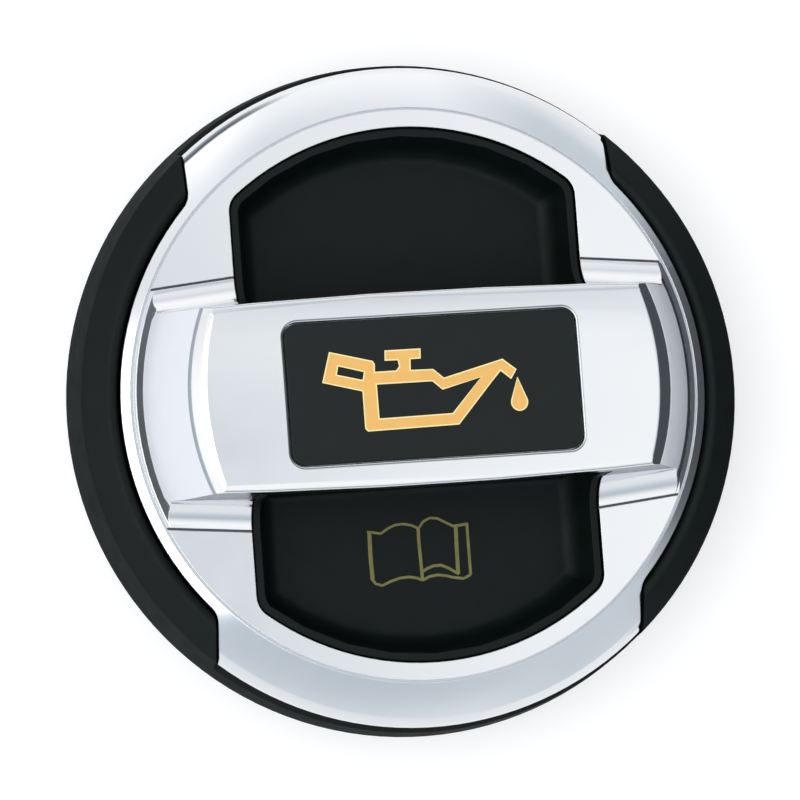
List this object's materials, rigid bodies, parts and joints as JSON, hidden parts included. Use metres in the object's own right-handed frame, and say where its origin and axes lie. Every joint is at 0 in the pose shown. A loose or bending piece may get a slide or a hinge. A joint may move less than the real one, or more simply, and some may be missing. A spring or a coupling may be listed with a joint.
{
  "type": "oil filler cap",
  "caption": "Round engine oil filler cap with a raised grip bar across finger bowls, a bright one-piece trim, and a bayonet stem with a neck seal.",
  "frame": {"origin": "on the cap's axis, at the centre of the stem's lower end", "axes": "+Z along the cap's axis, out of the filler neck and up through the grip bar; +X along the grip bar; +Y across the two finger bowls"},
  "size_m": [0.073, 0.073, 0.036],
  "materials": {
    "black_moulding": "fine matte grain",
    "satin_chrome": "satin chrome plating on plastic",
    "badge_black": "satin black with gold print",
    "core_nylon": "glass-filled nylon, moulded",
    "seal_rubber": "smooth moulded rubber"
  },
  "bodies": {
    "root": {"grip_shell": "black_moulding", "bright_trim": "satin_chrome", "badge_plate": "badge_black", "bayonet_core": "core_nylon", "neck_seal": "seal_rubber"}
  },
  "joints": []
}
